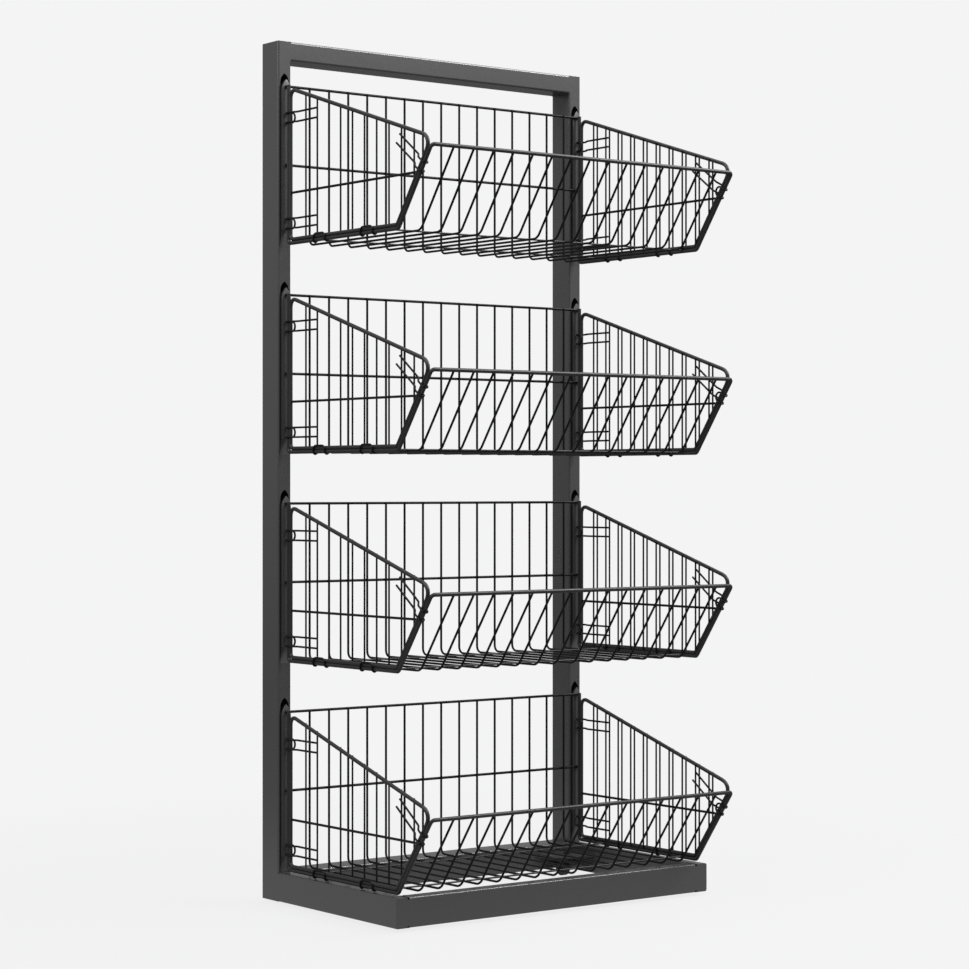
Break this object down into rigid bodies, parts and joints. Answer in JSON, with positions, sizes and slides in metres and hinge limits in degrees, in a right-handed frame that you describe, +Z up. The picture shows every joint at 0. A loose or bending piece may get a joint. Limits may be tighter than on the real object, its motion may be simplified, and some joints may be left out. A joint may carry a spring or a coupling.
{
  "type": "rolling display rack",
  "caption": "Free-standing shop rack: a tube frame on hidden castors carries a column of wire baskets with leaning open fronts, hooked on its posts.",
  "frame": {"origin": "on the floor, under the middle of the rack's width and depth", "axes": "+Z up, the front and the leaning basket fronts towards -Y, +X to the right seen from the front"},
  "size_m": [0.812, 0.595, 1.808],
  "materials": {
    "frame_coat": "charcoal powder coat, satin",
    "wire_coat": "near-black powder coat, satin",
    "castor_steel": "black zinc plated, satin",
    "castor_hub": "moulded",
    "castor_tyre": "matt"
  },
  "bodies": {
    "frame": {"left_post": "frame_coat", "right_post": "frame_coat", "top_rail": "frame_coat", "lower_back_rail": "frame_coat", "base_left_rail": "frame_coat", "base_right_rail": "frame_coat", "base_front_rail": "frame_coat", "post_end_plates": "frame_coat", "base_end_plates": "frame_coat", "castor_plates": "frame_coat", "castor_stems": "castor_steel", "castor_washers": "castor_steel", "castor_nuts": "castor_steel"},
    "basket_1": {"basket_1_wire_mat": "wire_coat", "basket_1_cross_wires": "wire_coat", "basket_1_edge_rod": "wire_coat", "basket_1_hangers": "frame_coat", "basket_1_left_side": "wire_coat", "basket_1_right_side": "wire_coat", "basket_1_side_clips": "wire_coat"},
    "basket_2": {"basket_2_wire_mat": "wire_coat", "basket_2_cross_wires": "wire_coat", "basket_2_edge_rod": "wire_coat", "basket_2_hangers": "frame_coat", "basket_2_left_side": "wire_coat", "basket_2_right_side": "wire_coat", "basket_2_side_clips": "wire_coat"},
    "basket_3": {"basket_3_wire_mat": "wire_coat", "basket_3_cross_wires": "wire_coat", "basket_3_edge_rod": "wire_coat", "basket_3_hangers": "frame_coat", "basket_3_left_side": "wire_coat", "basket_3_right_side": "wire_coat", "basket_3_side_clips": "wire_coat"},
    "basket_4": {"basket_4_wire_mat": "wire_coat", "basket_4_cross_wires": "wire_coat", "basket_4_edge_rod": "wire_coat", "basket_4_hangers": "frame_coat", "basket_4_left_side": "wire_coat", "basket_4_right_side": "wire_coat", "basket_4_side_clips": "wire_coat"},
    "castor_front_left_swivel": {"castor_front_left_fork": "castor_steel", "castor_front_left_axle": "castor_steel"},
    "castor_front_left_roller": {"castor_front_left_wheel": "castor_hub", "castor_front_left_tyre": "castor_tyre"},
    "castor_front_right_swivel": {"castor_front_right_fork": "castor_steel", "castor_front_right_axle": "castor_steel"},
    "castor_front_right_roller": {"castor_front_right_wheel": "castor_hub", "castor_front_right_tyre": "castor_tyre"},
    "castor_rear_left_swivel": {"castor_rear_left_fork": "castor_steel", "castor_rear_left_axle": "castor_steel"},
    "castor_rear_left_roller": {"castor_rear_left_wheel": "castor_hub", "castor_rear_left_tyre": "castor_tyre"},
    "castor_rear_right_swivel": {"castor_rear_right_fork": "castor_steel", "castor_rear_right_axle": "castor_steel"},
    "castor_rear_right_roller": {"castor_rear_right_wheel": "castor_hub", "castor_rear_right_tyre": "castor_tyre"}
  },
  "joints": [
    {"name": "basket_1_lift", "type": "slide", "parent": "frame", "child": "basket_1", "axis": [0, 0, 1], "range_m": [0, 0.011]},
    {"name": "basket_2_lift", "type": "slide", "parent": "frame", "child": "basket_2", "axis": [0, 0, 1], "range_m": [0, 0.011]},
    {"name": "basket_3_lift", "type": "slide", "parent": "frame", "child": "basket_3", "axis": [0, 0, 1], "range_m": [0, 0.011]},
    {"name": "basket_4_lift", "type": "slide", "parent": "frame", "child": "basket_4", "axis": [0, 0, 1], "range_m": [0, 0.011]},
    {"name": "castor_front_left_turn", "type": "hinge", "parent": "frame", "child": "castor_front_left_swivel", "pos_m": [-0.336, -0.12648, 0.042], "axis": [0, 0, 1], "continuous": true},
    {"name": "castor_front_left_roll", "type": "hinge", "parent": "castor_front_left_swivel", "child": "castor_front_left_roller", "pos_m": [-0.336, -0.14047, 0.0175], "axis": [1, 0, 0], "continuous": true},
    {"name": "castor_front_right_turn", "type": "hinge", "parent": "frame", "child": "castor_front_right_swivel", "pos_m": [0.336, -0.12648, 0.042], "axis": [0, 0, 1], "continuous": true},
    {"name": "castor_front_right_roll", "type": "hinge", "parent": "castor_front_right_swivel", "child": "castor_front_right_roller", "pos_m": [0.336, -0.14047, 0.0175], "axis": [1, 0, 0], "continuous": true},
    {"name": "castor_rear_left_turn", "type": "hinge", "parent": "frame", "child": "castor_rear_left_swivel", "pos_m": [-0.336, 0.19553, 0.042], "axis": [0, 0, 1], "continuous": true},
    {"name": "castor_rear_left_roll", "type": "hinge", "parent": "castor_rear_left_swivel", "child": "castor_rear_left_roller", "pos_m": [-0.336, 0.20952, 0.0175], "axis": [1, 0, 0], "continuous": true},
    {"name": "castor_rear_right_turn", "type": "hinge", "parent": "frame", "child": "castor_rear_right_swivel", "pos_m": [0.336, 0.19553, 0.042], "axis": [0, 0, 1], "continuous": true},
    {"name": "castor_rear_right_roll", "type": "hinge", "parent": "castor_rear_right_swivel", "child": "castor_rear_right_roller", "pos_m": [0.336, 0.20952, 0.0175], "axis": [1, 0, 0], "continuous": true}
  ]
}
